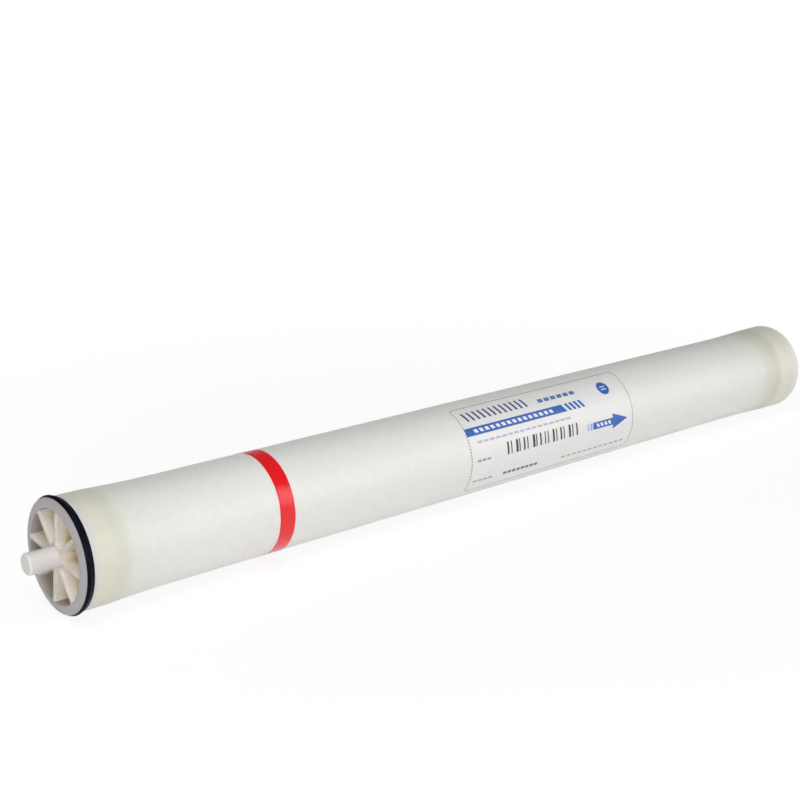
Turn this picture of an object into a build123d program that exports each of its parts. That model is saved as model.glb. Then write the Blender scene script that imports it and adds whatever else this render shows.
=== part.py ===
# Spiral-wound reverse-osmosis membrane element of the 4 by 40 inch size.
# X runs along the axis with the flow, from the feed end to the concentrate end. Z is up.
# The origin is on the axis at mid-length, and all sizes are in millimetres.
import os
from math import degrees

from build123d import *

# Lengths along the axis
element_length = 1016.0  # tip to tip of the two permeate stubs
stub_length = 26.7  # how far each stub stands out of its end cap
spoke_depth = 16.0  # end cap's face to the end of the wound roll
flange_drop = 1.3  # how far the ring falls back from the face to the flange's edge
flange_edge = 0.3  # flange's thickness at that edge
flange_root = 4.2  # from the face to the foot of the flange's sloped back
groove_width = 4.7  # seat of the brine seal, from the flange to the shell
feed_end_length = 24.0  # shell's full-radius end at the feed side
feed_taper_length = 42.0  # slope from that end down to the straight body
concentrate_end_length = 20.0
concentrate_taper_length = 62.0

# Radial sizes, built outwards from the axis
tube_radius = 10.0
tube_wall = 3.0
stub_turning = 0.45  # taken off the tube's radius to turn each stub
hub_wall = 1.75
roll_radius = 45.7
shell_wall = 1.3
shell_end_build = 2.0  # extra glass wound over each end cap
flange_stand = 0.45  # flange above the shell's end
ring_wall = 4.7  # cap's ring, from the seal's seat in to the windows
ring_flat = 2.5  # flat of the feed cap's ring, from the windows out to its fall
bond_gap = 0.05  # clearance at each glued or pressed fit

# Spokes of the end caps
spoke_count = 8
spoke_thickness = 4.0
spoke_turn = 8.7  # degrees from Y to the first spoke

# Brine seal
seal_gap = 0.1
seal_crest = 4.2  # lip's highest ring, behind the cap's face
seal_lip_stand = 1.75  # free lip above the flange

# Wound turns, seen on the roll's end faces
turn_pitch = 12.0
turn_gap = 1.8
turn_groove_depth = 1.0
turn_margin = 1.5  # plain rim left inside and outside the spiral

# Permeate tube
tip_chamfer = 1.5
plug_seat_depth = 20.0
plug_seat_step = 0.5  # seat's radius beyond the bore's
slot_length = 12.0
slot_width = 2.5
slot_pitch = 400.0
slot_count = 2  # slots along each wall

# Marking band and label on the straight body
band_start = 193.5  # from the feed cap's face
band_width = 16.8
band_thickness = 0.15
label_start = 423.5  # from the feed cap's face
label_length = 240.0
label_top_turn = 13.5  # degrees from straight up towards the front
label_angle = 119.0
label_thickness = 0.15
label_corner = 6.0

# Places along the axis
half_length = element_length / 2
face_x = half_length - stub_length
feed_face = -face_x
roll_half = face_x - spoke_depth
flange_front = feed_face + flange_drop + flange_edge
flange_rear = feed_face + flange_root
shell_start = flange_rear + groove_width

# Radii
bore_radius = tube_radius - tube_wall
plug_seat_radius = bore_radius + plug_seat_step
stub_radius = tube_radius - stub_turning
hub_bore = tube_radius + bond_gap
hub_radius = hub_bore + hub_wall
rim_radius = roll_radius
window_radius = rim_radius - ring_wall
shell_inner = roll_radius + bond_gap
body_radius = shell_inner + shell_wall
shell_end_radius = body_radius + shell_end_build
flange_radius = shell_end_radius + flange_stand
film_radius = body_radius + bond_gap  # underside of the band and the label

os.makedirs("parts", exist_ok=True)


def window_sketch(plane):
    """The openings between hub and ring that the radial spokes leave."""
    with BuildSketch(plane) as windows:
        Circle(window_radius)
        Circle(hub_radius, mode=Mode.SUBTRACT)
        with PolarLocations(0, spoke_count, start_angle=spoke_turn):
            Rectangle(
                flange_radius,
                spoke_thickness,
                align=(Align.MIN, Align.CENTER),
                mode=Mode.SUBTRACT,
            )
    return windows.sketch


def turn_sketch(plane):
    """The gap between wound turns: half circles whose radius grows by half a pitch each half turn."""
    first_radius = tube_radius + turn_margin + turn_gap
    room = roll_radius - turn_margin - turn_gap - first_radius
    half_turns = int(2 * room / turn_pitch)
    with BuildSketch(plane) as turns:
        with BuildLine():
            for half_turn in range(half_turns):
                lower = half_turn % 2
                centre = (lower * turn_pitch / 2, 0)
                radius = first_radius + half_turn * turn_pitch / 2
                CenterArc(centre, radius, 180 * lower, 180)
        trace(line_width=turn_gap)
    return turns.sketch


# Permeate tube: slotted along the roll, with a turned stub at each end
plug_seat_x = -half_length + plug_seat_depth
with BuildPart() as permeate_tube:
    with BuildSketch(Plane.XZ):
        with BuildLine():
            Polyline(
                (plug_seat_x, bore_radius),
                (plug_seat_x, plug_seat_radius),
                (-half_length, plug_seat_radius),
                (-half_length, stub_radius - tip_chamfer),
                (-half_length + tip_chamfer, stub_radius),
                (feed_face, stub_radius),
                (feed_face, tube_radius),
                (face_x, tube_radius),
                (face_x, stub_radius),
                (half_length - tip_chamfer, stub_radius),
                (half_length, stub_radius - tip_chamfer),
                (half_length, bore_radius),
                close=True,
            )
        make_face()
    revolve(axis=Axis.X)
    for wall_plane, shift in ((Plane.XY, -slot_pitch / 4), (Plane.XZ, slot_pitch / 4)):
        with BuildSketch(wall_plane):
            with Locations((shift, 0)):
                with GridLocations(slot_pitch, 0, slot_count, 1):
                    Rectangle(slot_length, slot_width)
        extrude(amount=tube_radius + bond_gap, both=True, mode=Mode.SUBTRACT)
permeate_tube.part.label = "permeate_tube"

# Plug that closes the tube at the feed end, flush with the stub's tip
with BuildPart() as feed_tube_plug:
    with BuildSketch(Plane.YZ.offset(-half_length)):
        Circle(plug_seat_radius - bond_gap)
    extrude(amount=plug_seat_depth - bond_gap)
feed_tube_plug.part.label = "feed_tube_plug"

# Membrane leaves wound round the tube, with the turns standing out on both end faces
with BuildPart() as membrane_roll:
    with BuildSketch(Plane.YZ.offset(-roll_half)):
        Circle(roll_radius)
        Circle(tube_radius + bond_gap, mode=Mode.SUBTRACT)
    extrude(amount=2 * roll_half)
    extrude(
        turn_sketch(Plane.YZ.offset(-roll_half)),
        amount=turn_groove_depth,
        mode=Mode.SUBTRACT,
    )
    extrude(
        turn_sketch(Plane.YZ.offset(roll_half)),
        amount=-turn_groove_depth,
        mode=Mode.SUBTRACT,
    )
membrane_roll.part.label = "membrane_roll"

# Feed end cap: a coned ring, its sloped-back flange and the seal's seat in one moulding, cut by windows
with BuildPart() as feed_end_cap:
    with BuildSketch(Plane.XZ):
        with BuildLine():
            Polyline(
                (feed_face, hub_bore),
                (feed_face, window_radius + ring_flat),
                (feed_face + flange_drop, flange_radius),
                (flange_front, flange_radius),
                (flange_rear, rim_radius),
                (-roll_half, rim_radius),
                (-roll_half, hub_bore),
                close=True,
            )
        make_face()
    revolve(axis=Axis.X)
    extrude(
        window_sketch(Plane.YZ.offset(feed_face)),
        amount=spoke_depth,
        mode=Mode.SUBTRACT,
    )
feed_end_cap.part.label = "feed_end_cap"

# Concentrate end cap: the same spokes in a plain rim, flush with the end of the shell
with BuildPart() as concentrate_end_cap:
    with BuildSketch(Plane.YZ.offset(roll_half)):
        Circle(rim_radius)
        Circle(hub_bore, mode=Mode.SUBTRACT)
    extrude(amount=spoke_depth)
    extrude(
        window_sketch(Plane.YZ.offset(roll_half)),
        amount=spoke_depth,
        mode=Mode.SUBTRACT,
    )
concentrate_end_cap.part.label = "concentrate_end_cap"

# Fibreglass shell wound over the roll and both caps, and built up towards its ends
feed_end_x = shell_start + feed_end_length
concentrate_end_x = face_x - concentrate_end_length
with BuildPart() as fibreglass_shell:
    with BuildSketch(Plane.XZ):
        with BuildLine():
            Polyline(
                (shell_start, shell_inner),
                (shell_start, shell_end_radius),
                (feed_end_x, shell_end_radius),
                (feed_end_x + feed_taper_length, body_radius),
                (concentrate_end_x - concentrate_taper_length, body_radius),
                (concentrate_end_x, shell_end_radius),
                (face_x, shell_end_radius),
                (face_x, shell_inner),
                close=True,
            )
        make_face()
    revolve(axis=Axis.X)
fibreglass_shell.part.label = "fibreglass_shell"

# Brine seal: a rubber ring behind the flange, flared to a lip that leans towards the feed
seal_foot = flange_rear + seal_gap
seal_front = flange_front + seal_gap
seal_rear = shell_start - seal_gap
seal_inner = rim_radius + seal_gap
with BuildPart() as brine_seal:
    with BuildSketch(Plane.XZ):
        with BuildLine():
            Polyline(
                (seal_foot, seal_inner),
                (seal_rear, seal_inner),
                (seal_rear, shell_end_radius),
                (feed_face + seal_crest, flange_radius + seal_lip_stand),
                (seal_front, flange_radius),
                close=True,
            )
        make_face()
    revolve(axis=Axis.X)
brine_seal.part.label = "brine_seal"

# Marking band: a turn of tape round the straight body
with BuildPart() as marking_band:
    with BuildSketch(Plane.YZ.offset(feed_face + band_start)):
        Circle(film_radius + band_thickness)
        Circle(film_radius, mode=Mode.SUBTRACT)
    extrude(amount=band_width)
marking_band.part.label = "marking_band"

# Label: a film laid round the front of the straight body, with each corner cut to an arc
label_x = feed_face + label_start
corner_turn = degrees(label_corner / film_radius)
corner_reach = label_corner + bond_gap
with BuildPart() as label:
    with BuildSketch(Plane.XZ.rotated((label_top_turn, 0, 0))):
        with Locations((label_x, film_radius)):
            Rectangle(label_length, label_thickness, align=(Align.MIN, Align.MIN))
    revolve(axis=Axis.X, revolution_arc=label_angle)
    label_ends = (
        (label_x + label_corner, Align.MAX),
        (label_x + label_length - label_corner, Align.MIN),
    )
    label_sides = (
        (label_top_turn + corner_turn, Align.MIN),
        (label_top_turn + label_angle - corner_turn, Align.MAX),
    )
    for corner_x, x_side in label_ends:
        for turn, turn_side in label_sides:
            with BuildSketch(Plane((corner_x, 0, 0)).rotated((turn, 0, 0))):
                Rectangle(corner_reach, corner_reach, align=(x_side, turn_side))
                Circle(label_corner, mode=Mode.SUBTRACT)
            extrude(amount=film_radius + 2 * label_thickness, mode=Mode.SUBTRACT)
label.part.label = "label"

pieces = (
    permeate_tube,
    feed_tube_plug,
    membrane_roll,
    feed_end_cap,
    concentrate_end_cap,
    fibreglass_shell,
    brine_seal,
    marking_band,
    label,
)
for piece in pieces:
    export_step(piece.part, f"parts/{piece.part.label}.step")
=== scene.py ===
# %% [markdown]
# # Dressing a spiral-wound membrane element
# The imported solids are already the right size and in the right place, so they are loaded first and never
# moved. Every surface made below is worked out in the same frame: X runs along the element with the flow,
# Z is up, and the label faces minus Y. Sizes are written in millimetres, as on a drawing.

import bpy
import numpy as np
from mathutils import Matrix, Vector


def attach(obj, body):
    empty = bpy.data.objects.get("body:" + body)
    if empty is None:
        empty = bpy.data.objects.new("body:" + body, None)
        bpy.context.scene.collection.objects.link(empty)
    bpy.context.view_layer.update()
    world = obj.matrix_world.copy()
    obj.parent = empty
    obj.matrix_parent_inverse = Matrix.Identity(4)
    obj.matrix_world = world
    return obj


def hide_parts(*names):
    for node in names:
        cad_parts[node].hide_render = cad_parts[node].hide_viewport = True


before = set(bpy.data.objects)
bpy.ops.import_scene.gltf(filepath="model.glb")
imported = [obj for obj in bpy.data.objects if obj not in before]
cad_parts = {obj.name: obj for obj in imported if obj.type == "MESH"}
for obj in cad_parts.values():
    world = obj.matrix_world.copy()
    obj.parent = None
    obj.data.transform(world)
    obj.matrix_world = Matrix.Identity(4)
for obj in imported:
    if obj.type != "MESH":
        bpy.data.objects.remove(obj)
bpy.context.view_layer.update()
FACE = 481.3  # end cap's face, from mid-length
TIP = 508.0  # end of each permeate stub
ROLL_END = 465.3  # end of the wound roll
print("nodes:", sorted(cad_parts))

# %% [markdown]
# ## Tools for meshes
# Almost everything here is round, so one function turns a profile about the axis. A turned form could also
# come from Blender's Screw modifier, but an array of points keeps every size in view. Real mouldings have
# no knife edges, so a second function rounds the corners of a profile before it is turned.

# %% Rounded outlines, turned forms and closed meshes
MM = 0.001
STEPS = 7
CORNER_POINTS = STEPS + 2  # points that stand for one rounded corner
HOLD, HOLD_LEAST = 0.2, 0.02  # past a rounded corner: share of its reach, and the least in millimetres
SHARP = 40.0  # degrees between two faces from which their edge is shaded sharp


def soften(corners, reach, steps=STEPS):
    """Rounds every corner of a closed outline.

    Corner B between two sides becomes (1-t)^2 P + 2 t (1-t) B + t^2 Q, where P and Q lie on the sides at
    the given reach from B. One more point just past P and Q keeps flat sides flat when they are shaded.
    """
    corners = np.asarray(corners, float)
    reach = np.broadcast_to(np.asarray(reach, float), len(corners))[:, None]
    back = np.roll(corners, 1, 0) - corners
    ahead = np.roll(corners, -1, 0) - corners
    back = back / np.linalg.norm(back, axis=1, keepdims=True)
    ahead = ahead / np.linalg.norm(ahead, axis=1, keepdims=True)
    t = np.linspace(0, 1, steps)[None, :, None]
    first = (corners + back * reach)[:, None]
    last = (corners + ahead * reach)[:, None]
    curve = (1 - t) ** 2 * first + 2 * t * (1 - t) * corners[:, None] + t**2 * last
    hold = HOLD * reach + HOLD_LEAST
    hold_back = first + (back * hold)[:, None]
    hold_ahead = last + (ahead * hold)[:, None]
    return np.concatenate([hold_back, curve, hold_ahead], 1).reshape(-1, 2)


def grid_quads(rows, columns, closed):
    """Corner numbers of each cell of a grid whose columns run round.

    The rows run round too where closed is true. Otherwise a strip of quads closes the first and the last
    row, each from column k across to the last column less k.
    """
    row = np.arange(rows if closed else rows - 1)[:, None]
    column = np.arange(columns)[None, :]
    below = (row + 1) % rows
    right = (column + 1) % columns
    here, under = row * columns, below * columns
    corners = [here + column, under + column, under + right, here + right]
    quads = np.stack(corners, -1).reshape(-1, 4)
    if closed:
        return quads
    k = np.arange(columns // 2 - 1)
    lid = np.stack([k, k + 1, columns - 2 - k, columns - 1 - k], -1)
    return np.concatenate([quads, lid, lid[:, ::-1] + (rows - 1) * columns])


def turned(profile, sides, closed=True):
    """A profile of (x, r) carried round the axis: (x, r cos t, r sin t), t from 0 to a full turn."""
    profile = np.asarray(profile, float)
    t = np.linspace(0, 2 * np.pi, sides, endpoint=False)
    x = np.repeat(profile[:, :1], sides, 1)
    points = np.stack([x, profile[:, 1:] * np.cos(t), profile[:, 1:] * np.sin(t)], -1)
    return points.reshape(-1, 3), grid_quads(len(profile), sides, closed)


def outward(points, quads):
    """The enclosed volume, and the quads with their faces turned outwards by its sign.

    A quad a, b, c, d adds a . (b x c) + a . (c x d) to six times the volume.
    """
    a, b, c, d = (points[quads[:, k]] for k in range(4))
    volume = np.einsum("ij,ij->", a, np.cross(b, c)) + np.einsum("ij,ij->", a, np.cross(c, d))
    return abs(volume) / 6, quads if volume > 0 else quads[:, ::-1]


def joined(parts):
    """Several (points, quads) as one, with the corner numbers moved along and every face outwards."""
    starts = np.cumsum([0] + [len(points) for points, quads in parts[:-1]])
    quads = [outward(points, quads)[1] + start for (points, quads), start in zip(parts, starts)]
    return np.concatenate([points for points, quads in parts]), np.concatenate(quads)


def put(name, points, quads, stands_for, material):
    """A closed mesh from points in millimetres, with its faces outwards."""
    volume, quads = outward(points, quads)
    mesh = bpy.data.meshes.new(name)
    mesh.vertices.add(len(points))
    mesh.vertices.foreach_set("co", (points * MM).ravel())
    mesh.loops.add(quads.size)
    mesh.loops.foreach_set("vertex_index", quads.ravel().astype(np.int32))
    mesh.polygons.add(len(quads))
    mesh.polygons.foreach_set("loop_start", np.arange(0, quads.size, 4, dtype=np.int32))
    mesh.update(calc_edges=True)
    mesh.validate()
    mesh.shade_smooth()
    mesh.set_sharp_from_angle(angle=np.radians(SHARP))
    mesh.materials.append(material)
    piece = bpy.data.objects.new(name, mesh)
    bpy.context.scene.collection.objects.link(piece)
    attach(piece, "root")
    if stands_for:
        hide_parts(stands_for)
    print(f"{name}: {len(quads)} quads, {volume / 1000:.1f} cm3")
    return piece


print("a rounded corner takes", CORNER_POINTS, "points")

# %% [markdown]
# ## Tools for materials
# Colours are written as they look on a screen, so one function turns a hex value into the linear light that
# the shader works in. Another adds a node: its settings, and each socket's value or incoming link. Patterns
# read Object coordinates, which are metres from the element's middle, so a pattern that repeats every so
# many millimetres has a scale of 1000 over that size.

# %% Colours, nodes and new finishes


def linear(code):
    """An sRGB hex value as linear red, green, blue and alpha."""
    part = np.array([int(code[k:k + 2], 16) for k in (1, 3, 5)]) / 255
    light = np.where(part <= 0.04045, part / 12.92, ((part + 0.055) / 1.055) ** 2.4)
    return [float(value) for value in light] + [1.0]


def add(tree, kind, sockets, **settings):
    """Adds one node; a socket given another socket is linked to it, and any other value is set."""
    node = tree.nodes.new(kind)
    for name, value in settings.items():
        setattr(node, name, value)
    for name, value in sockets.items():
        if isinstance(value, bpy.types.NodeSocket):
            tree.links.new(value, node.inputs[name])
        else:
            node.inputs[name].default_value = value
    return node


def new_finish(name, **values):
    """A material with a Principled shader, some of its sockets set, and the Object coordinates."""
    material = bpy.data.materials.new(name)
    material.use_nodes = True
    tree = material.node_tree
    shader = tree.nodes["Principled BSDF"]
    for socket, value in values.items():
        shader.inputs[socket.replace("_", " ")].default_value = value
    place = add(tree, "ShaderNodeTexCoord", {}).outputs["Object"]
    return material, tree, shader, place


print("half grey on a screen is", round(linear("#808080")[0], 3), "in linear light")

# %% [markdown]
# ## The camera
# The picture was taken from in front of the feed end and a little above it. The lens and the place were
# solved from known sizes: the cap's rim, the stub's length and the element's full length.

# %% Camera
YAW = np.radians(40.85)
PITCH = np.radians(15.71)
LENS = 67.05  # millimetres, on a sensor that is 36 wide
CAMERA_SPOT = (-1.0121, -1.0448, 0.4532)  # metres
camera = bpy.data.objects.new("camera", bpy.data.cameras.new("camera"))
camera.data.sensor_width = 36.0
camera.data.lens = LENS
camera.data.clip_end = 200.0
camera.location = CAMERA_SPOT
sight = Vector((np.sin(YAW) * np.cos(PITCH), np.cos(YAW) * np.cos(PITCH), -np.sin(PITCH)))
camera.rotation_euler = sight.to_track_quat("-Z", "Y").to_euler()
bpy.context.scene.collection.objects.link(camera)
bpy.context.scene.camera = camera
bpy.context.scene.view_settings.view_transform = "Standard"
print("camera looks along", tuple(round(value, 3) for value in sight))

# %% [markdown]
# ## The studio
# A wide pale floor fills the frame. It is lit like any floor, so it keeps the shadow, but the camera and
# mirror-like rays see it mostly as plain white paper, and more so away from the element.

# %% Floor
FLOOR = -51.3  # just under the seal's lip
FLOOR_REACH = 40000.0
WHITE_NEAR, WHITE_FAR = 0.4, 1.6  # metres from the middle, between which the paper turns whiter
GLOW = 1.08
floor_mesh = bpy.data.meshes.new("studio_floor")
floor_corners = np.array([[-1, -1], [1, -1], [1, 1], [-1, 1]]) * FLOOR_REACH
floor_points = np.concatenate([floor_corners, np.full((4, 1), FLOOR)], 1)
floor_mesh.from_pydata((floor_points * MM).tolist(), [], [(0, 1, 2, 3)])
floor = bpy.data.objects.new("studio_floor", floor_mesh)
bpy.context.scene.collection.objects.link(floor)

paper = bpy.data.materials.new("studio_paper")
paper.use_nodes = True
tree = paper.node_tree
tree.nodes.clear()
rays = add(tree, "ShaderNodeLightPath", {}).outputs
seen = {0: rays["Is Camera Ray"], 1: rays["Is Glossy Ray"]}
seen = add(tree, "ShaderNodeMath", seen, operation="MAXIMUM")
seen = {0: seen.outputs[0], 1: rays["Is Transmission Ray"]}
seen = add(tree, "ShaderNodeMath", seen, operation="MAXIMUM")
spot = add(tree, "ShaderNodeTexCoord", {}).outputs["Object"]
away = add(tree, "ShaderNodeVectorMath", {0: spot}, operation="LENGTH").outputs["Value"]
white = {"Value": away, "From Min": WHITE_NEAR, "From Max": WHITE_FAR, "To Min": 0.8, "To Max": 0.98}
white = add(tree, "ShaderNodeMapRange", white)
share = add(tree, "ShaderNodeMath", {0: seen.outputs[0], 1: white.outputs[0]}, operation="MULTIPLY")
matt = add(tree, "ShaderNodeBsdfDiffuse", {"Color": linear("#f2f2f2")})
glow = add(tree, "ShaderNodeEmission", {"Color": (1, 1, 1, 1), "Strength": GLOW})
mixed = add(tree, "ShaderNodeMixShader", {0: share.outputs[0], 1: matt.outputs[0], 2: glow.outputs[0]})
add(tree, "ShaderNodeOutputMaterial", {"Surface": mixed.outputs[0]})
floor_mesh.materials.append(paper)
print("floor at", FLOOR, "mm")

# %% [markdown]
# The surroundings are pale near the horizon and dim overhead, and they light the object only a little. Most
# of the shape comes from four soft boxes: one in front on the camera's side, a wide one in front to the
# right that draws the long highlight, one high over the feed end that picks out the upper walls of the
# spokes, and one behind that keeps the back from going grey and is left out of reflections. Each stands at
# a place in metres and faces the spot that it is aimed at.

# %% Surroundings and soft boxes
world = bpy.data.worlds.new("studio")
world.use_nodes = True
bpy.context.scene.world = world
tree = world.node_tree
direction = add(tree, "ShaderNodeTexCoord", {}).outputs["Generated"]
height = add(tree, "ShaderNodeSeparateXYZ", {0: direction}).outputs["Z"]
climb = {"Value": height, "From Min": 0.08, "From Max": 0.6, "To Min": 1.0, "To Max": 0.3}
climb = add(tree, "ShaderNodeMapRange", climb)
rays = add(tree, "ShaderNodeLightPath", {}).outputs
mirror = {0: rays["Is Glossy Ray"], 1: rays["Is Transmission Ray"]}
mirror = add(tree, "ShaderNodeMath", mirror, operation="MAXIMUM")
level = add(tree, "ShaderNodeMapRange", {"Value": mirror.outputs[0], "To Min": 0.23, "To Max": 0.38})
lit = add(tree, "ShaderNodeMath", {0: climb.outputs[0], 1: level.outputs[0]}, operation="MULTIPLY")
shown = add(tree, "ShaderNodeMath", {0: lit.outputs[0], 1: rays["Is Camera Ray"]}, operation="MAXIMUM")
tree.links.new(shown.outputs[0], tree.nodes["Background"].inputs["Strength"])
tree.nodes["Background"].inputs["Color"].default_value = (1, 1, 1, 1)

for name, spot, aim, size, power in (
    ("soft_box_camera_side", (-2.6, -2.9, 0.8), (-0.2, 0, 0), (1.2, 1.2), 54.5),
    ("soft_box_right", (2.1, -2.3, 0.98), (0, 0, 0), (2.2, 1.8), 33.5),
    ("soft_box_overhead", (-1.05, -0.65, 2.35), (-0.2, 0, 0), (2.0, 1.8), 32.5),
    ("soft_box_behind", (1.6, 3.0, 0.6), (0, 0, 0), (2.2, 1.2), 40.0),
):
    lamp = bpy.data.lights.new(name, "AREA")
    lamp.shape = "RECTANGLE"
    lamp.size, lamp.size_y = size
    lamp.energy = power
    stand = bpy.data.objects.new(name, lamp)
    stand.location = spot
    stand.rotation_euler = (Vector(aim) - Vector(spot)).to_track_quat("-Z", "Y").to_euler()
    stand.visible_camera = False
    stand.visible_glossy = name != "soft_box_behind"
    bpy.context.scene.collection.objects.link(stand)
    print(name, power, "W")

# %% [markdown]
# ## Wound fibreglass
# The shell is glass roving wound in clear resin and left to cure, then lightly smoothed. It is nearly white
# where it lies on the roll. Over the end caps it is thicker, and there the resin shows cream, with a
# greener ring where the cap ends. The colours are therefore stops along the axis, with an uneven edge. The
# eye also gets faint bands of roving, a soft sheen and a slight mottle. The bands lie almost square to the
# axis, so their phase is the place along the axis plus the angle round it.

# %% Fibreglass finish
ROVING = 7.0  # width of one wound band
CLOUD, MOTTLE = 26.0, 6.0  # patches in the resin, broad and fine
WANDER = 5.0  # how far the edge of a zone strays along the axis
fibreglass, tree, shader, place = new_finish("wound_fibreglass_satin", IOR=1.5)
axis = add(tree, "ShaderNodeSeparateXYZ", {0: place})
blur = add(tree, "ShaderNodeTexNoise", {"Vector": place, "Scale": 1000 / CLOUD, "Detail": 3.0})
shift = {"Value": blur.outputs[0], "To Min": -WANDER * MM, "To Max": WANDER * MM}
shift = add(tree, "ShaderNodeMapRange", shift)
along = add(tree, "ShaderNodeMath", {0: axis.outputs["X"], 1: shift.outputs[0]}, operation="ADD")
share = {"Value": along.outputs[0], "From Min": -FACE * MM, "From Max": FACE * MM}
share = add(tree, "ShaderNodeMapRange", share)
zones = add(tree, "ShaderNodeValToRGB", {"Fac": share.outputs[0]})
# Each stop is a distance from the feed cap's face and a colour
stops = (
    (12.0, "#dad9d4"), (14.5, "#dfdccd"), (26.0, "#dfdccc"), (28.5, "#dadacb"), (40.0, "#dbdbcd"),
    (43.5, "#e4e3dc"), (80.0, "#e8e7e2"), (150.0, "#eae9e5"), (820.0, "#eae9e5"), (878.0, "#e7e6e1"),
    (894.0, "#e3e2db"), (908.0, "#dad9cd"), (922.0, "#d3d3c3"), (927.0, "#d5d5c5"), (930.5, "#e3e0d1"),
    (950.0, "#e2dfd3"), (960.0, "#e9e6de"),
)
zones.color_ramp.elements[0].position = stops[0][0] / (2 * FACE)
zones.color_ramp.elements[0].color = linear(stops[0][1])
zones.color_ramp.elements[1].position = stops[-1][0] / (2 * FACE)
zones.color_ramp.elements[1].color = linear(stops[-1][1])
for spot, code in stops[1:-1]:
    zones.color_ramp.elements.new(spot / (2 * FACE)).color = linear(code)
turn = add(tree, "ShaderNodeMath", {0: axis.outputs["Z"], 1: axis.outputs["Y"]}, operation="ARCTAN2")
phase = {0: axis.outputs["X"], 1: 2000 * np.pi / ROVING, 2: turn.outputs[0]}
phase = add(tree, "ShaderNodeMath", phase, operation="MULTIPLY_ADD")
band = add(tree, "ShaderNodeMath", {0: phase.outputs[0]}, operation="SINE")
mottle = add(tree, "ShaderNodeTexNoise", {"Vector": place, "Scale": 1000 / MOTTLE, "Detail": 4.0})
tone = {0: band.outputs[0], 1: 0.008, 2: mottle.outputs[0]}
tone = add(tree, "ShaderNodeMath", tone, operation="MULTIPLY_ADD")
level = {"Value": tone.outputs[0], "From Min": 0.2, "From Max": 0.8, "To Min": 0.965, "To Max": 1.03}
level = add(tree, "ShaderNodeMapRange", level)
tinted = {0: zones.outputs["Color"], "Scale": level.outputs[0]}
tinted = add(tree, "ShaderNodeVectorMath", tinted, operation="SCALE")
tree.links.new(tinted.outputs[0], shader.inputs["Base Color"])
sheen = add(tree, "ShaderNodeMapRange", {"Value": blur.outputs[0], "To Min": 0.36, "To Max": 0.5})
tree.links.new(sheen.outputs[0], shader.inputs["Roughness"])
rise = {0: band.outputs[0], 1: 0.15, 2: mottle.outputs[0]}
rise = add(tree, "ShaderNodeMath", rise, operation="MULTIPLY_ADD")
bump = add(tree, "ShaderNodeBump", {"Height": rise.outputs[0], "Strength": 0.25, "Distance": 0.1 * MM})
tree.links.new(bump.outputs[0], shader.inputs["Normal"])
print("fibreglass bands every", ROVING, "mm")

# %% [markdown]
# ## The shell
# The shell starts just behind the seal and runs to the far cap's face. Its ends are built up over the caps,
# so the outline swells by two millimetres and slopes back to the straight body. A lathe profile with long
# rounded corners gives that slope the soft look of resin that was wiped on by hand.

# %% Shell
SHELL_START = -472.4
SHELL_BORE, BODY, SHELL_END = 45.75, 47.05, 49.05  # radii
FEED_BUILD, FEED_SLOPE = -448.4, -406.4  # where the feed end's full radius and its slope end
FAR_SLOPE, FAR_BUILD = 399.3, 461.3
SHELL_SIDES = 224
shell_corners = [
    (SHELL_START, SHELL_BORE),
    (SHELL_START, SHELL_END),
    (FEED_BUILD, SHELL_END),
    (FEED_SLOPE, BODY),
    (FAR_SLOPE, BODY),
    (FAR_BUILD, SHELL_END),
    (FACE, SHELL_END),
    (FACE, SHELL_BORE),
]
shell_reach = [0.3, 0.7, 8.0, 26.0, 22.0, 14.0, 1.9, 0.4]
shell_profile = soften(shell_corners, shell_reach, steps=11)
points, quads = turned(shell_profile, SHELL_SIDES)
shell = put("shell_wound", points, quads, "fibreglass_shell", fibreglass)

# %% [markdown]
# ## Moulded end caps
# Each cap is one injection moulding in cream plastic: a ring, a hub on the tube, and eight deep spokes that
# stop the wound leaves from telescoping. The eye gets a plain matt skin with a very fine grain. The colour
# follows the depth from the face. The face is a little darker and the walls just behind it paler, painted
# shade and light for faces turned from and towards the main light. Deeper between the spokes it turns
# olive, painted shade where little light reaches. The ring is greyer, partly a greyer plastic and partly
# the same painted shade, which deepens inside it. The ring takes its own colours from the radius at which
# it starts.

# %% Moulded plastic finish
CLOUD_OF_CAP, GRAIN = 14.0, 0.9  # patches in the plastic, and the mould's grain
# The patches move the place where the painted shade deep in the windows sets in.
SHADE_WANDER = 3.0  # how far the patches shift the warm tone
RING_TONE, RING_TONE_FULL = 40.3, 40.9  # radii between which the ring's own colours set in
moulding, tree, shader, place = new_finish("moulded_abs_cream", IOR=1.5)
axis = add(tree, "ShaderNodeSeparateXYZ", {0: place})
depth = add(tree, "ShaderNodeMath", {0: axis.outputs["X"]}, operation="ABSOLUTE")
cloud = add(tree, "ShaderNodeTexNoise", {"Vector": place, "Scale": 1000 / CLOUD_OF_CAP, "Detail": 3.0})
uneven = {0: cloud.outputs[0], 1: -SHADE_WANDER * MM, 2: depth.outputs[0]}
uneven = add(tree, "ShaderNodeMath", uneven, operation="MULTIPLY_ADD")
deep = {"Value": uneven.outputs[0], "From Min": (FACE - 0.7) * MM, "From Max": (ROLL_END - 1.5) * MM}
deep = add(tree, "ShaderNodeMapRange", deep)
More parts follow.
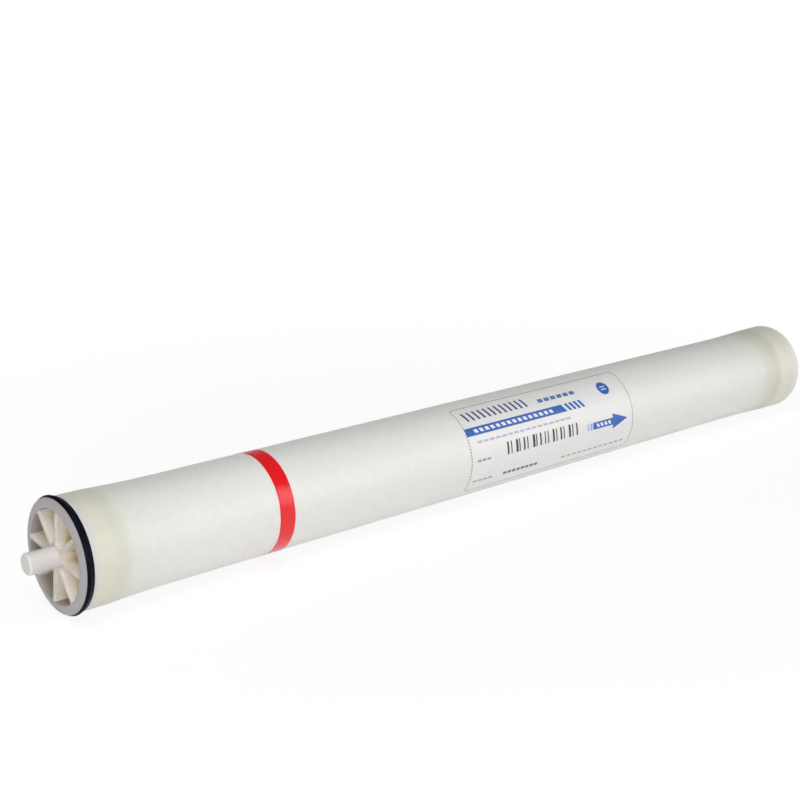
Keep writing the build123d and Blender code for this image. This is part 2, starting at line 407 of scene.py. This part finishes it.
# Painted shade and light by depth: a darker face, pale walls, and olive painted shade deep between spokes.
skin_and_painted_shade = add(tree, "ShaderNodeValToRGB", {"Fac": deep.outputs[0]})
skin_and_painted_shade.color_ramp.elements[0].color = linear("#d8cfc7")
skin_and_painted_shade.color_ramp.elements[1].color = linear("#a39252")
for spot, code in ((0.08, "#f4ece3"), (0.42, "#f6eedf"), (0.7, "#ded0a0")):
    skin_and_painted_shade.color_ramp.elements.new(spot).color = linear(code)
flat = add(tree, "ShaderNodeCombineXYZ", {"Y": axis.outputs["Y"], "Z": axis.outputs["Z"]})
radius = add(tree, "ShaderNodeVectorMath", {0: flat.outputs[0]}, operation="LENGTH")
outer = {"Value": radius.outputs["Value"], "From Min": RING_TONE * MM, "From Max": RING_TONE_FULL * MM}
outer = add(tree, "ShaderNodeMapRange", outer)
# The ring: partly a greyer plastic, partly painted shade on its face, and darker painted shade deeper in.
ring_grey_and_painted_shade = add(tree, "ShaderNodeValToRGB", {"Fac": deep.outputs[0]})
ring_grey_and_painted_shade.color_ramp.elements[0].color = linear("#b4afb3")
ring_grey_and_painted_shade.color_ramp.elements[1].color = linear("#8c8164")
for spot, code in ((0.12, "#b1abac"), (0.4, "#9f968c")):
    ring_grey_and_painted_shade.color_ramp.elements.new(spot).color = linear(code)
cap_colour_with_painted_shade = {0: outer.outputs[0], 6: skin_and_painted_shade.outputs["Color"], 7: ring_grey_and_painted_shade.outputs["Color"]}
cap_colour_with_painted_shade = add(tree, "ShaderNodeMix", cap_colour_with_painted_shade, data_type="RGBA")
tree.links.new(cap_colour_with_painted_shade.outputs[2], shader.inputs["Base Color"])
grain = add(tree, "ShaderNodeTexNoise", {"Vector": place, "Scale": 1000 / GRAIN, "Detail": 2.0})
bump = add(tree, "ShaderNodeBump", {"Height": grain.outputs[0], "Strength": 0.15, "Distance": 0.06 * MM})
tree.links.new(bump.outputs[0], shader.inputs["Normal"])
worn = add(tree, "ShaderNodeMapRange", {"Value": cloud.outputs[0], "To Min": 0.4, "To Max": 0.54})
tree.links.new(worn.outputs[0], shader.inputs["Roughness"])
print("cap finish reads depth from the face, and its ring starts at", RING_TONE, "mm")

# %% [markdown]
# A spoke is a rounded bar carried out along a radius. It widens where it runs into the hub and the ring, as
# a moulded rib does, so the windows have round corners. A plain box with a bevel would leave those corners
# sharp.

# %% Spokes
SPOKES = 8
SPOKE_TURN = np.radians(8.7)  # from Y to the first spoke
SPOKE_HALF = 2.0
FRONT_EDGE, BACK_EDGE = 1.5, 0.2  # rounding of a spoke's edges
FLARE, FLARE_REACH = 0.9, 2.0  # how much, and over which length, a spoke widens at its ends
HUB_ROOT, RING_ROOT = 1.0, 1.5  # how far a spoke runs into hub and ring
HUB_BORE, HUB, WINDOW, RIM = 10.05, 11.8, 41.0, 45.7  # radii


def spokes(front, back):
    """Eight bars from hub to ring.

    The bar's outline (x, w) runs round its depth and half width. Along the radius r the half width grows by
    flare (1 - d / reach)^2 within a distance d of either end, and the bar is turned to each of the eight
    angles. The outline starts in the middle of a corner, so that no cell of the strip that closes an end is
    squeezed to a line.
    """
    corners = [(front, -SPOKE_HALF), (front, SPOKE_HALF), (back, SPOKE_HALF), (back, -SPOKE_HALF)]
    outline = soften(corners, [FRONT_EDGE, FRONT_EDGE, BACK_EDGE, BACK_EDGE])
    outline = np.roll(outline, -(CORNER_POINTS // 2), 0)
    flare = np.linspace(0, FLARE_REACH, STEPS)
    radius = np.concatenate([[HUB - HUB_ROOT], HUB + flare, WINDOW - flare[::-1], [WINDOW + RING_ROOT]])
    near = np.clip(np.minimum(radius - HUB, WINDOW - radius), 0, FLARE_REACH)
    half = SPOKE_HALF + FLARE * (1 - near / FLARE_REACH) ** 2
    angle = SPOKE_TURN + np.arange(SPOKES) * 2 * np.pi / SPOKES
    edge = outline[None, :, 1] + np.sign(outline[None, :, 1]) * (half[:, None] - SPOKE_HALF)
    x = np.broadcast_to(outline[None, :, 0], edge.shape)
    r = np.broadcast_to(radius[:, None], edge.shape)
    cos, sin = np.cos(angle)[:, None, None], np.sin(angle)[:, None, None]
    bars = np.stack([x + 0 * cos, r * cos - edge * sin, r * sin + edge * cos], -1)
    one = grid_quads(bars.shape[1], bars.shape[2], False)
    count = bars.shape[1] * bars.shape[2]
    quads = one[None] + (np.arange(SPOKES) * count)[:, None, None]
    return bars.reshape(-1, 3), quads.reshape(-1, 4)


print(SPOKES, "spokes of", 2 * SPOKE_HALF, "mm")

# %% [markdown]
# The ring and the hub are turned profiles. The front of the feed cap's ring is domed: it is flat near the
# windows and then falls back along an arc to the flange's edge, so it shades softly from side to side. That
# front and the spokes stand a little proud of the solid's flat face, as a crowned moulding does.

# %% Domed ring
FLANGE, RING_FLAT = 49.5, 43.3  # radii of the flange's edge, and of the place where the fall starts
FLANGE_DROP = 2.2  # fall of the front at that edge
PROUD = 0.9  # front of the moulding, beyond the solid's face
FLANGE_FRONT, FLANGE_REAR = -479.7, -477.1  # places along the axis
DOME_STEPS = 14


def domed_ring():
    """The feed cap's ring: its front falls back along an arc, x = R - sqrt(R^2 - s^2), s outwards."""
    span = FLANGE - RING_FLAT
    arc = (span**2 + FLANGE_DROP**2) / (2 * FLANGE_DROP)
    s = np.linspace(0, span, DOME_STEPS)
    dome = np.stack([-FACE - PROUD + arc - np.sqrt(arc**2 - s**2), RING_FLAT + s], -1)
    sides = [
        (FLANGE_FRONT, FLANGE),
        (FLANGE_REAR, RIM),
        (-ROLL_END, RIM),
        (-ROLL_END, WINDOW),
        (-FACE - PROUD, WINDOW),
    ]
    back = soften(np.concatenate([sides, dome[:1]]), [0.12, 0.3, 0.3, 0.3, 0.5, 0.01])
    return np.concatenate([dome, back[:-CORNER_POINTS]])


feed_ring = domed_ring()
print("ring's profile has", len(feed_ring), "points")

# %% [markdown]
# Each cap is now put together from its ring, its hub and its spokes. The parts run into each other and each
# is closed by itself, so no seam between them can open. The far cap is the same moulding with a plain rim,
# and lies flush with the end of the shell.

# %% Both caps
RING_SIDES, HUB_SIDES = 192, 96
SHY = 0.02  # spokes behind the front of ring and hub
feed_hub = soften(
    [(-FACE - PROUD, HUB_BORE), (-FACE - PROUD, HUB), (-ROLL_END, HUB), (-ROLL_END, HUB_BORE)],
    [0.2, 0.5, 0.2, 0.2],
)
feed_spokes = spokes(-FACE - PROUD + SHY, -ROLL_END)
feed_parts = joined([turned(feed_ring, RING_SIDES), turned(feed_hub, HUB_SIDES), feed_spokes])
feed_cap = put("feed_cap_moulding", *feed_parts, "feed_end_cap", moulding)
far_ring = soften(
    [(FACE, RIM), (FACE, WINDOW), (ROLL_END, WINDOW), (ROLL_END, RIM)],
    [0.6, 0.7, 0.3, 0.3],
)
far_hub = soften(
    [(FACE, HUB), (FACE, HUB_BORE), (ROLL_END, HUB_BORE), (ROLL_END, HUB)],
    [0.5, 0.2, 0.2, 0.2],
)
far_spokes = spokes(FACE - SHY, ROLL_END)
far_parts = joined([turned(far_ring, RING_SIDES), turned(far_hub, HUB_SIDES), far_spokes])
far_cap = put("concentrate_cap_moulding", *far_parts, "concentrate_end_cap", moulding)

# %% [markdown]
# ## The brine seal
# A black EPDM ring fills the groove behind the flange, and its lip leans out against the vessel. Moulded
# rubber is nearly black, a little blue, with a dull skin and faint dust. A low bead behind the lip catches
# a thin line of light.

# %% Rubber finish and seal
DUST = 5.0  # patches of dust
rubber, tree, shader, place = new_finish("moulded_epdm_black", IOR=1.5, Specular_IOR_Level=0.06)
dust = {"Vector": place, "Scale": 1000 / DUST, "Detail": 6.0, "Roughness": 0.7}
dust = add(tree, "ShaderNodeTexNoise", dust)
faint = add(tree, "ShaderNodeMapRange", {"Value": dust.outputs[0], "From Min": 0.45, "From Max": 0.8})
black = {0: faint.outputs[0], 6: linear("#070716"), 7: linear("#12122a")}
black = add(tree, "ShaderNodeMix", black, data_type="RGBA")
tree.links.new(black.outputs[2], shader.inputs["Base Color"])
dull = add(tree, "ShaderNodeMapRange", {"Value": dust.outputs[0], "To Min": 0.3, "To Max": 0.5})
tree.links.new(dull.outputs[0], shader.inputs["Roughness"])
bump = add(tree, "ShaderNodeBump", {"Height": dust.outputs[0], "Strength": 0.2, "Distance": 0.08 * MM})
tree.links.new(bump.outputs[0], shader.inputs["Normal"])

SEAL_FOOT, SEAL_FRONT, SEAL_CREST, SEAL_REAR = -477.0, -479.6, -477.1, -472.5
SEAL_SEAT, LIP = 45.8, 51.25  # radii
BEAD_REAR, BEAD_FRONT = SEAL_REAR - 1.6, SEAL_REAR - 2.8
BEAD_REAR_RADIUS, BEAD_FRONT_RADIUS = 50.0, 50.1
seal_corners = [
    (SEAL_FOOT, SEAL_SEAT),
    (SEAL_REAR, SEAL_SEAT),
    (SEAL_REAR, SHELL_END),
    (BEAD_REAR, BEAD_REAR_RADIUS),
    (BEAD_FRONT, BEAD_FRONT_RADIUS),
    (SEAL_CREST, LIP),
    (SEAL_FRONT, FLANGE),
]
seal_profile = soften(seal_corners, [0.3, 0.3, 0.3, 0.5, 0.5, 0.8, 0.15])
points, quads = turned(seal_profile, SHELL_SIDES)
seal = put("seal_cup", points, quads, "brine_seal", rubber)

# %% [markdown]
# ## The permeate tube and its plug
# The tube is extruded plastic whose stubs were turned on a lathe, so fine rings run round them. It is a
# shade paler than the caps. Its feed end has a seat for a plug, and its far end is open.

# %% Turned plastic finish and tube
PASS = 0.8  # spacing of the lathe marks, drawn coarser than real so that it shows
TUBE_CLOUD = 9.0  # patches in the plastic
turned_plastic, tree, shader, place = new_finish("turned_abs_cream", Roughness=0.4, IOR=1.5)
axis = add(tree, "ShaderNodeSeparateXYZ", {0: place})
mark = add(tree, "ShaderNodeMath", {0: axis.outputs["X"], 1: 2000 * np.pi / PASS}, operation="MULTIPLY")
ridge = add(tree, "ShaderNodeMath", {0: mark.outputs[0]}, operation="SINE")
cloud = add(tree, "ShaderNodeTexNoise", {"Vector": place, "Scale": 1000 / TUBE_CLOUD, "Detail": 4.0})
cream = {0: cloud.outputs[0], 6: linear("#e8e4e0"), 7: linear("#f0edea")}
cream = add(tree, "ShaderNodeMix", cream, data_type="RGBA")
tree.links.new(cream.outputs[2], shader.inputs["Base Color"])
bump = add(tree, "ShaderNodeBump", {"Height": ridge.outputs[0], "Strength": 0.12, "Distance": 0.04 * MM})
tree.links.new(bump.outputs[0], shader.inputs["Normal"])

STUB, TUBE, BORE, PLUG = 9.55, 10.0, 7.0, 7.45  # radii
SEAT = -488.0  # bottom of the plug's seat
JOINT = 0.05  # gap round the plug and behind it
CHAMFER = 1.5
tube_corners = [
    (SEAT, BORE),
    (SEAT, PLUG + JOINT),
    (-TIP, PLUG + JOINT),
    (-TIP, STUB - CHAMFER),
    (-TIP + CHAMFER, STUB),
    (-FACE, STUB),
    (-FACE, TUBE),
    (FACE, TUBE),
    (FACE, STUB),
    (TIP - CHAMFER, STUB),
    (TIP, STUB - CHAMFER),
    (TIP, BORE),
]
tube_reach = [0.1, 0.1, 0.08, 0.2, 0.5, 0.1, 0.1, 0.1, 0.1, 0.5, 0.2, 0.3]
points, quads = turned(soften(tube_corners, tube_reach, steps=5), HUB_SIDES)
tube = put("tube_turned", points, quads, "permeate_tube", turned_plastic)

# %% [markdown]
# A plug closes the feed end, flush with the tip, and only a thin round joint shows. It is a plain moulding,
# a little greyer than the tube. Its profile holds only the two rounded edges, and a strip of quads closes
# each end.

# %% Plug
SPECK = 2.5  # specks in the plastic
plug_plastic, tree, shader, place = new_finish("moulded_plug_grey", Roughness=0.5, IOR=1.5)
speck = add(tree, "ShaderNodeTexNoise", {"Vector": place, "Scale": 1000 / SPECK, "Detail": 5.0})
pale = {0: speck.outputs[0], 6: linear("#dfddd8"), 7: linear("#e9e7e3")}
pale = add(tree, "ShaderNodeMix", pale, data_type="RGBA")
tree.links.new(pale.outputs[2], shader.inputs["Base Color"])
bump = add(tree, "ShaderNodeBump", {"Height": speck.outputs[0], "Strength": 0.15, "Distance": 0.05 * MM})
tree.links.new(bump.outputs[0], shader.inputs["Normal"])
plug_front, plug_back = -TIP + JOINT, SEAT - JOINT
plug_corners = [(plug_front, 0), (plug_front, PLUG), (plug_back, PLUG), (plug_back, 0)]
plug_profile = soften(plug_corners, [0.1, 0.35, 0.2, 0.1])[CORNER_POINTS:-CORNER_POINTS]
points, quads = turned(plug_profile, HUB_SIDES, closed=False)
plug = put("tube_plug", points, quads, "feed_tube_plug", plug_plastic)

# %% [markdown]
# ## The wound roll
# Between the spokes one looks onto the cut ends of the leaves: membrane, feed spacer and permeate cloth,
# wound in a spiral. The radius r and the angle t give the winding's phase, r / pitch + t / one turn, and
# both the colours and the relief follow it. The real layers are under a millimetre, so the pitch is drawn
# about twice as coarse to show.

# %% Leaf finish
PITCH_OF_LEAVES = 2.2
FUZZ = 1.5  # frayed fibres
leaves, tree, shader, place = new_finish("membrane_leaf_edges", Roughness=0.75, IOR=1.45)
axis = add(tree, "ShaderNodeSeparateXYZ", {0: place})
flat = add(tree, "ShaderNodeCombineXYZ", {"Y": axis.outputs["Y"], "Z": axis.outputs["Z"]})
radius = add(tree, "ShaderNodeVectorMath", {0: flat.outputs[0]}, operation="LENGTH")
turn = add(tree, "ShaderNodeMath", {0: axis.outputs["Z"], 1: axis.outputs["Y"]}, operation="ARCTAN2")
part = add(tree, "ShaderNodeMath", {0: turn.outputs[0], 1: 0.5 / np.pi}, operation="MULTIPLY")
phase = {0: radius.outputs["Value"], 1: 1000 / PITCH_OF_LEAVES, 2: part.outputs[0]}
phase = add(tree, "ShaderNodeMath", phase, operation="MULTIPLY_ADD")
layer = add(tree, "ShaderNodeMath", {0: phase.outputs[0]}, operation="FRACT")
colours = add(tree, "ShaderNodeValToRGB", {"Fac": layer.outputs[0]})
colours.color_ramp.elements[0].color = linear("#dccfa4")
colours.color_ramp.elements[1].color = linear("#d3c596")
for spot, code in ((0.3, "#d8ca9c"), (0.38, "#a3925c"), (0.62, "#94844f"), (0.7, "#c3b37e")):
    colours.color_ramp.elements.new(spot).color = linear(code)
fuzz = add(tree, "ShaderNodeTexNoise", {"Vector": place, "Scale": 1000 / FUZZ, "Detail": 3.0})
dirt = add(tree, "ShaderNodeMapRange", {"Value": fuzz.outputs[0], "To Min": 0.75, "To Max": 1.1})
shaded = {0: colours.outputs["Color"], "Scale": dirt.outputs[0]}
shaded = add(tree, "ShaderNodeVectorMath", shaded, operation="SCALE")
tree.links.new(shaded.outputs[0], shader.inputs["Base Color"])
bump = add(tree, "ShaderNodeBump", {"Height": fuzz.outputs[0], "Strength": 0.4, "Distance": 0.2 * MM})
tree.links.new(bump.outputs[0], shader.inputs["Normal"])
print("leaves every", PITCH_OF_LEAVES, "mm")

# %% [markdown]
# Each end face is a grid of rings and angles, sunk by d (1 - cos 2 pi phase). The far face is its mirror
# image, and the rows run on from one to the other, so the roll is one closed skin.

# %% Roll
ROLL, ROLL_BORE = 45.7, 10.05  # radii
ROLL_RINGS, ROLL_SIDES = 112, 240
RELIEF = 0.35  # half the depth between two leaves
r = np.linspace(ROLL_BORE, ROLL, ROLL_RINGS)[:, None]
t = np.linspace(0, 2 * np.pi, ROLL_SIDES, endpoint=False)
wind = r / PITCH_OF_LEAVES + t / (2 * np.pi)
sink = RELIEF - RELIEF * np.cos(2 * np.pi * wind)
end_face = np.stack([-ROLL_END + sink, r * np.cos(t), r * np.sin(t)], -1)
far_face = end_face[::-1] * np.array([-1.0, 1.0, 1.0])
rows = np.concatenate([end_face, far_face])
quads = grid_quads(len(rows), len(t), True)
roll = put("roll_of_leaves", rows.reshape(-1, 3), quads, "membrane_roll", leaves)

# %% [markdown]
# ## The marking band
# One turn of red polyester tape. The film is glossy and saturated, and its slit edges waver by a fraction
# of a millimetre. Shallow wrinkles run round it, so its highlight breaks up.

# %% Tape finish and band
WRINKLE = 7.0  # before it is stretched round the body
tape, tree, shader, place = new_finish("polyester_tape_red", IOR=1.5)
streak = add(tree, "ShaderNodeMapping", {"Vector": place, "Scale": (3.0, 0.5, 0.5)})
film_noise = {"Vector": streak.outputs[0], "Scale": 1000 / WRINKLE, "Detail": 4.0}
film_noise = add(tree, "ShaderNodeTexNoise", film_noise)
red = {0: film_noise.outputs[0], 6: linear("#e8141a"), 7: linear("#f01c24")}
red = add(tree, "ShaderNodeMix", red, data_type="RGBA")
tree.links.new(red.outputs[2], shader.inputs["Base Color"])
gloss = add(tree, "ShaderNodeMapRange", {"Value": film_noise.outputs[0], "To Min": 0.08, "To Max": 0.3})
tree.links.new(gloss.outputs[0], shader.inputs["Roughness"])
bump = add(tree, "ShaderNodeBump", {"Height": film_noise.outputs[0], "Strength": 0.7, "Distance": 0.7 * MM})
tree.links.new(bump.outputs[0], shader.inputs["Normal"])

BAND_START, BAND_WIDTH = -287.8, 16.8
FILM, FILM_THICKNESS = 47.1, 0.15  # underside's radius, for the tape and the label
BAND_SIDES, BAND_ROWS = 256, 9
TRIM = 0.35  # room for each edge to waver in
t = np.linspace(0, 2 * np.pi, BAND_SIDES, endpoint=False)
waver = 0.18 * np.sin(3 * t + 0.6) + 0.1 * np.sin(7 * t + 1.9) + 0.06 * np.sin(16 * t)
left = BAND_START + TRIM + waver
right = BAND_START + BAND_WIDTH - TRIM + 0.7 * np.roll(waver, 60)
share = np.linspace(0, 1, BAND_ROWS)[:, None]
x = left * (1 - share) + right * share
r = np.full(x.shape, FILM + FILM_THICKNESS)
upper = np.stack([x, r * np.cos(t), r * np.sin(t)], -1)
r = np.full(x.shape, FILM)
lower = np.stack([x[::-1], r * np.cos(t), r * np.sin(t)], -1)
rows = np.concatenate([upper, lower])
quads = grid_quads(len(rows), len(t), True)
band_piece = put("band_of_tape", rows.reshape(-1, 3), quads, "marking_band", tape)

# %% [markdown]
# ## The label
# A printed film with round corners is wrapped round the front of the body. Film and ink are both thin
# curved slabs. Each starts as a flat grid of (along, down) in millimetres and is laid on the shell by
# turning the distance down into an angle. Ink drawn as its own thin slab stays sharp in a close view, where
# a pattern of pixels would not.

# %% Thin slabs on the shell
LABEL_X, LABEL_LENGTH = -57.8, 240.0
LABEL_TOP = np.radians(13.5)  # from straight up to the upper edge
LABEL_DROP = np.radians(119.0) * FILM
CORNER = 6.0


def slabs(sheets, inner, outer):
    """Flat grids laid on the body as closed slabs.

    Each sheet is a grid of (along, down). A point goes to x = label start + along, at the angle
    a = label top + down / film radius from straight up, so y = -r sin a and z = r cos a, at two radii r.
    """
    count, m, n = sheets.shape[:3]
    angle = LABEL_TOP + sheets[..., 1] / FILM
    x = LABEL_X + sheets[..., 0]
    layers = [np.stack([x, -r * np.sin(angle), r * np.cos(angle)], -1) for r in (outer, inner)]
    points = np.stack(layers, 1).reshape(-1, 3)
    number = np.arange(m * n).reshape(m, n)
    cells = [number[:-1, :-1], number[1:, :-1], number[1:, 1:], number[:-1, 1:]]
    top = np.stack(cells, -1).reshape(-1, 4)
    rim = np.concatenate([number[:-1, 0], number[-1, :-1], number[:0:-1, -1], number[0, :0:-1]])
    ahead = np.roll(rim, -1)
    side = np.stack([ahead, rim, rim + m * n, ahead + m * n], -1)
    one = np.concatenate([top, top[:, ::-1] + m * n, side])
    quads = one[None] + (np.arange(count) * 2 * m * n)[:, None, None]
    return points, quads.reshape(-1, 4)


print("label is", LABEL_LENGTH, "by", round(LABEL_DROP, 1), "mm")

# %% [markdown]
# The film is white polyester with a satin varnish, a touch bluer than the resin under it. Its four corners
# are arcs: within a corner's reach of either end, the grid's half height drops along a circle.

# %% Label film
VARNISH = 12.0  # patches in the varnish
FILM_COLUMNS, FILM_ROWS, CORNER_COLUMNS = 30, 60, 10
film_white, tree, shader, place = new_finish("polyester_label_white", IOR=1.5)
paper_noise = add(tree, "ShaderNodeTexNoise", {"Vector": place, "Scale": 1000 / VARNISH, "Detail": 4.0})
white = {0: paper_noise.outputs[0], 6: linear("#e7e6e4"), 7: linear("#eeedeb")}
white = add(tree, "ShaderNodeMix", white, data_type="RGBA")
tree.links.new(white.outputs[2], shader.inputs["Base Color"])
satin = add(tree, "ShaderNodeMapRange", {"Value": paper_noise.outputs[0], "To Min": 0.3, "To Max": 0.44})
tree.links.new(satin.outputs[0], shader.inputs["Roughness"])
bump = {"Height": paper_noise.outputs[0], "Strength": 0.15, "Distance": 0.1 * MM}
bump = add(tree, "ShaderNodeBump", bump)
tree.links.new(bump.outputs[0], shader.inputs["Normal"])

bend = CORNER * (1 - np.cos(np.linspace(0, np.pi / 2, CORNER_COLUMNS)))
plain = np.linspace(CORNER, LABEL_LENGTH - CORNER, FILM_COLUMNS)[1:-1]
along = np.concatenate([bend, plain, LABEL_LENGTH - bend[::-1]])
inset = np.clip(CORNER - np.minimum(along, LABEL_LENGTH - along), 0, CORNER)
half = LABEL_DROP / 2 - CORNER + np.sqrt(CORNER**2 - inset**2)
down = LABEL_DROP / 2 + half[:, None] * np.linspace(-1, 1, FILM_ROWS)
film_sheet = np.stack([np.repeat(along[:, None], FILM_ROWS, 1), down], -1)
points, quads = slabs(film_sheet[None], FILM, FILM + FILM_THICKNESS)
label_film = put("label_film", points, quads, "label", film_white)

# %% [markdown]
# The print is plain shapes in a few colours. Almost all of it is made of four-sided fields, each stretched
# as a grid between its corners, and a disc is a square grid pressed round. One function then gives a colour
# of ink its finish and lays its fields on the film.

# %% Fields and ink
FINE = 14  # points along each side of a field
LIFT = 0.012  # how far the ink stands off the film
INK = 0.02  # thickness
PATCH = 3.0  # uneven spots in the ink


def field(corners):
    """A four-sided field as a grid: corners in the order top left, top right, bottom right, bottom left."""
    a, b, c, d = np.asarray(corners, float)
    u = np.linspace(0, 1, FINE)[:, None, None]
    v = np.linspace(0, 1, FINE)[None, :, None]
    return (1 - u) * (1 - v) * a + u * (1 - v) * b + u * v * c + (1 - u) * v * d


def bars(starts, ends, top, bottom, slant=0.0):
    """Fields side by side between two heights; slant moves the bottom along."""
    sides = zip(starts, ends)
    return np.stack([
        field([(a, top), (b, top), (b + slant, bottom), (a + slant, bottom)]) for a, b in sides
    ])


def disc(along, down, size):
    """A square grid pressed into a disc: (u sqrt(1 - v^2 / 2), v sqrt(1 - u^2 / 2))."""
    u, v = np.meshgrid(np.linspace(-1, 1, FINE), np.linspace(-1, 1, FINE), indexing="ij")
    round_u = u * np.sqrt(1 - v**2 / 2)
    round_v = v * np.sqrt(1 - u**2 / 2)
    return np.stack([along + size * round_u, down + size * round_v], -1)[None]


def ink(name, code, spread, sheets, lift=LIFT):
    """One colour of ink: its finish, a slightly uneven solid, and its fields on the film."""
    finish, tree, shader, place = new_finish(name, Roughness=0.4, IOR=1.5)
    patchy = add(tree, "ShaderNodeTexNoise", {"Vector": place, "Scale": 1000 / PATCH, "Detail": 4.0})
    amount = {"Value": patchy.outputs[0], "To Min": 1 - spread, "To Max": 1 + spread}
    amount = add(tree, "ShaderNodeMapRange", amount)
    colour = {0: linear(code)[:3], "Scale": amount.outputs[0]}
    colour = add(tree, "ShaderNodeVectorMath", colour, operation="SCALE")
    tree.links.new(colour.outputs[0], shader.inputs["Base Color"])
    base = FILM + FILM_THICKNESS + lift
    points, quads = slabs(sheets, base, base + INK)
    piece = put(name, points, quads, None, finish)


print("ink lies", LIFT, "mm above the film")

# %% [markdown]
# The upper part is blue: a row of slats, a row of blocks, a barred disc, and under them a header bar that
# breaks up into slanted stripes. A flow arrow with a striped tail stands further down. White marks on the
# bar, the disc and the arrow lie one layer higher than the blue.

# %% Blue and white print
HEAD_TOP, HEAD_FOOT = 27.5, 36.0
SHAFT_TOP, SHAFT_FOOT = 55.0, 62.5
stripe = 147.0 + 6.6 * np.arange(4)
blue = [
    field([(1.6, HEAD_TOP), (138.5, HEAD_TOP), (143.5, HEAD_FOOT), (1.6, HEAD_FOOT)])[None],
    bars(stripe - 4.6, stripe - 0.8, HEAD_TOP, HEAD_FOOT, slant=5.0),
    bars([176], [207], SHAFT_TOP, SHAFT_FOOT),
    field([(206.9, 50.5), (229, 58.4), (229, 59.1), (206.9, 67)])[None],
    disc(208, 21, 8.0),
]
ink("print_blue", "#2f63b8", 0.15, np.concatenate(blue))
slat = 9.0 + 7.4 * np.arange(12)
ink("print_navy", "#34457c", 0.2, bars(slat, slat + 2.7, 9.0, 20.5, slant=3.0))
block = 112.0 + 9.4 * np.arange(6)
ink("print_mid_blue", "#5b79b8", 0.2, bars(block, block + 7.0, 15.0, 19.5))
ink("print_pale_blue", "#9db6e0", 0.15, bars([167.5, 171.5], [169.5, 174.8], SHAFT_TOP, SHAFT_FOOT))
notch = 12.0 + 7.6 * np.arange(15)
tick = 6.0 * np.arange(4)
clear = [
    bars(notch, notch + 4.6, 29.8, 33.6, slant=1.6),
    bars(181.0 + tick, 184.6 + tick, 56.9, 60.6, slant=1.6),
    bars([204.2, 204.2], [211.8, 211.8], 18.6, 19.9) + np.array([[0, 0], [0, 3.5]])[:, None, None],
]
ink("print_white", "#e9ecf4", 0.05, np.concatenate(clear), lift=LIFT + 2 * INK)

# %% [markdown]
# Below the header come a row of pale violet dashes, a row of black strokes, and rows of small grey bars.
# The strokes differ in width and spacing, so their row doesn't read as a ruler.

# %% Black, grey and violet print
gaps = [5.2, 7.1, 4.4, 6.3, 5.0, 8.2, 4.6, 5.7, 6.9, 4.3, 7.4, 5.1, 6.2, 4.8, 7.7, 5.3, 5.9]
stroke = 50.0 + np.cumsum([0] + gaps)
width = np.array([2.4, 1.5, 3.0, 1.5, 2.2, 1.5, 3.2, 1.6, 2.2, 1.5, 1.5, 2.8, 1.5, 2.4, 1.5, 3.0, 1.5, 2.2])
ink("print_black", "#2b2b30", 0.25, bars(stroke, stroke + width, 50.0, 63.0))
chip = 48.5 + 6.3 * np.arange(8)
ink("print_dark_grey", "#5c5c62", 0.25, bars(chip, chip + 4.6, 82.3, 85.6))
dash = 12.0 + 8.4 * np.arange(16)
ink("print_violet", "#b9b2cf", 0.2, bars(dash, dash + 6.4, 42.2, 44.4))
# Each row of grey bars has its start, step, count and drop
grey_rows = ((9.0, 6.4, 3, 60.6), (134.0, 8.2, 12, 84.6), (7.0, 7.0, 4, 83.2))
small = np.concatenate([start + step * np.arange(count) for start, step, count, drop in grey_rows])
drop = np.concatenate([np.full(count, drop) for start, step, count, drop in grey_rows])
grey_sheets = bars(small, small + 5.0, 0.0, 2.0) + np.stack([0 * drop, drop], -1)[:, None, None]
ink("print_grey", "#8f8f95", 0.2, grey_sheets)

# %% [markdown]
# A dashed cutting line runs just inside the film's edge. Its centre line is a rectangle with round corners,
# walked at an even pace, and every dash is a short field along the way it runs there.

# %% Dashed border
DASH, DASH_STEP, DASH_WIDTH, INSET = 2.0, 3.1, 0.9, 1.2
turn = CORNER - INSET
run = np.array([LABEL_LENGTH - 2 * CORNER, LABEL_DROP - 2 * CORNER])
leg = np.array([run[0], turn * np.pi / 2, run[1], turn * np.pi / 2] * 2)
edge = np.concatenate([[0], np.cumsum(leg)])
steps = int(edge[-1] / DASH_STEP)
walk = np.arange(steps) * edge[-1] / steps
side = np.searchsorted(edge, walk, side="right") - 1
quarter = side // 2
straight = side % 2 == 0
on = walk - edge[side]
heading = quarter * np.pi / 2 + np.where(straight, 0, on / turn)
centre = np.array([[1, 0], [1, 1], [0, 1], [0, 0]])[quarter] * run + CORNER
out = np.stack([np.sin(heading), -np.cos(heading)], -1)
ahead = np.stack([np.cos(heading), np.sin(heading)], -1)
middle = centre + out * turn - np.where(straight, leg[side] - on, 0)[:, None] * ahead
u = np.array([-DASH / 2, DASH / 2])[None, :, None, None]
v = np.array([-DASH_WIDTH / 2, DASH_WIDTH / 2])[None, None, :, None]
dashes = middle[:, None, None] + u * ahead[:, None, None] + v * out[:, None, None]
ink("print_border", "#4c4c52", 0.3, dashes)
print("border has", steps, "dashes")
